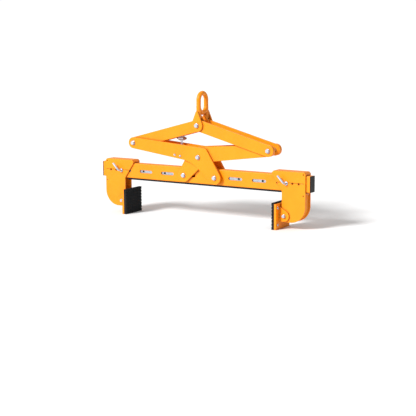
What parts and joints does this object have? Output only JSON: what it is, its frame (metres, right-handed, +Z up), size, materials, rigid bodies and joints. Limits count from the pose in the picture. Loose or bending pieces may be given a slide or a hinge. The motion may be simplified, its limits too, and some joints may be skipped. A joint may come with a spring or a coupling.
{
  "type": "scissor lifting clamp",
  "caption": "Horizontal scissor lifting clamp: crossed levers on a slotted beam pull two rubber-faced jaws against a stone block as the lifting eye is raised.",
  "frame": {"origin": "middle of the underside of the rest strip, the face that stands on the load", "axes": "+X along the beam, +Y to the side with the nuts, +Z up to the lifting eye"},
  "size_m": [1.41, 0.165, 0.746],
  "materials": {
    "yellow_paint": "satin powder coat",
    "zinc_plate": "bright zinc plating",
    "black_rubber": "matt",
    "black_plastic": "matt",
    "brown_plastic": "semi-gloss"
  },
  "bodies": {
    "beam": {"outer_beam": "yellow_paint", "beam_end_caps": "black_plastic", "rest_strip": "black_rubber"},
    "jaw_right": {"inner_tube_right": "zinc_plate", "carriage_right_front": "yellow_paint", "carriage_right_back": "yellow_paint", "carriage_right_top": "yellow_paint", "jaw_web_right": "yellow_paint", "lower_pin_right": "zinc_plate", "lower_bush_right": "zinc_plate", "pad_pin_right": "zinc_plate", "jaw_right_nuts": "zinc_plate"},
    "jaw_left": {"inner_tube_left": "zinc_plate", "carriage_left_front": "yellow_paint", "carriage_left_back": "yellow_paint", "carriage_left_top": "yellow_paint", "jaw_web_left": "yellow_paint", "lower_pin_left": "zinc_plate", "lower_bush_left": "zinc_plate", "pad_pin_left": "zinc_plate", "jaw_left_nuts": "zinc_plate"},
    "lever_left": {"lever_left_front": "yellow_paint", "lever_left_back": "yellow_paint", "lever_left_spacer": "yellow_paint", "centre_pin": "zinc_plate", "outer_pin_left": "zinc_plate", "lever_left_nuts": "zinc_plate", "latch_keeper": "zinc_plate", "keeper_bolts": "zinc_plate"},
    "lever_right": {"lever_right_front": "yellow_paint", "lever_right_back": "yellow_paint", "lever_right_spacer": "yellow_paint", "outer_pin_right": "zinc_plate", "lever_right_nut": "zinc_plate"},
    "link_left": {"link_left_front": "yellow_paint", "link_left_back": "yellow_paint", "link_left_spacer": "yellow_paint", "latch_pivot_pin": "zinc_plate"},
    "link_right": {"link_right_front": "yellow_paint", "link_right_back": "yellow_paint", "link_right_spacer": "yellow_paint"},
    "yoke": {"yoke_plate_front_outer": "yellow_paint", "yoke_plate_front_inner": "yellow_paint", "yoke_plate_back_inner": "yellow_paint", "yoke_plate_back_outer": "yellow_paint", "lifting_loop": "yellow_paint", "yoke_pin": "zinc_plate", "yoke_pin_nut": "zinc_plate"},
    "latch": {"latch_arm": "zinc_plate", "latch_weight": "zinc_plate", "latch_knobs": "brown_plastic"},
    "pad_left": {"pad_bracket_left": "yellow_paint", "pad_rubber_left": "black_rubber", "pad_bolts_left": "zinc_plate"},
    "lock_pin_left": {"locking_pin_left": "zinc_plate"},
    "pad_right": {"pad_bracket_right": "yellow_paint", "pad_rubber_right": "black_rubber", "pad_bolts_right": "zinc_plate"},
    "lock_pin_right": {"locking_pin_right": "zinc_plate"}
  },
  "joints": [
    {"name": "jaw_right_slide", "type": "slide", "parent": "beam", "child": "jaw_right", "axis": [-1, 0, 0], "range_m": [0, 0.058]},
    {"name": "jaw_left_slide", "type": "slide", "parent": "beam", "child": "jaw_left", "axis": [1, 0, 0], "range_m": [0, 0.058]},
    {"name": "lever_left_hinge", "type": "hinge", "parent": "jaw_right", "child": "lever_left", "pos_m": [0.109, 0, 0.054], "axis": [0, 1, 0], "range_deg": [0, 25.71]},
    {"name": "lever_right_hinge", "type": "hinge", "parent": "jaw_left", "child": "lever_right", "pos_m": [-0.109, 0, 0.054], "axis": [0, -1, 0], "range_deg": [0, 25.71]},
    {"name": "link_left_hinge", "type": "hinge", "parent": "lever_left", "child": "link_left", "pos_m": [-0.455, 0, 0.227], "axis": [0, -1, 0], "range_deg": [0, 45.59]},
    {"name": "link_right_hinge", "type": "hinge", "parent": "lever_right", "child": "link_right", "pos_m": [0.455, 0, 0.227], "axis": [0, 1, 0], "range_deg": [0, 45.59]},
    {"name": "yoke_hinge", "type": "hinge", "parent": "link_left", "child": "yoke", "pos_m": [0, 0, 0.3485], "axis": [0, 1, 0], "range_deg": [0, 19.88]},
    {"name": "latch_hinge", "type": "hinge", "parent": "link_left", "child": "latch", "pos_m": [-0.143, 0, 0.31031], "axis": [0, 1, 0], "range_deg": [-12, 12]},
    {"name": "pad_left_tilt", "type": "hinge", "parent": "jaw_left", "child": "pad_left", "pos_m": [-0.552, 0, -0.128], "axis": [0, 1, 0], "range_deg": [-4, 4]},
    {"name": "pad_right_tilt", "type": "hinge", "parent": "jaw_right", "child": "pad_right", "pos_m": [0.552, 0, -0.128], "axis": [0, 1, 0], "range_deg": [-4, 4]},
    {"name": "lock_pin_left_pull", "type": "slide", "parent": "jaw_left", "child": "lock_pin_left", "axis": [0, -1, 0], "range_m": [0, 0.1]},
    {"name": "lock_pin_right_pull", "type": "slide", "parent": "jaw_right", "child": "lock_pin_right", "axis": [0, -1, 0], "range_m": [0, 0.1]}
  ],
  "couplings": [
    {"joint": "jaw_left_slide", "follows": "jaw_right_slide", "ratio": 1},
    {"joint": "lever_left_hinge", "follows": "jaw_right_slide", "rad_per_m": 7.7351},
    {"joint": "lever_right_hinge", "follows": "jaw_right_slide", "rad_per_m": 7.7351},
    {"joint": "link_left_hinge", "follows": "jaw_right_slide", "rad_per_m": 13.717},
    {"joint": "link_right_hinge", "follows": "jaw_right_slide", "rad_per_m": 13.717},
    {"joint": "yoke_hinge", "follows": "jaw_right_slide", "rad_per_m": 5.9815}
  ]
}
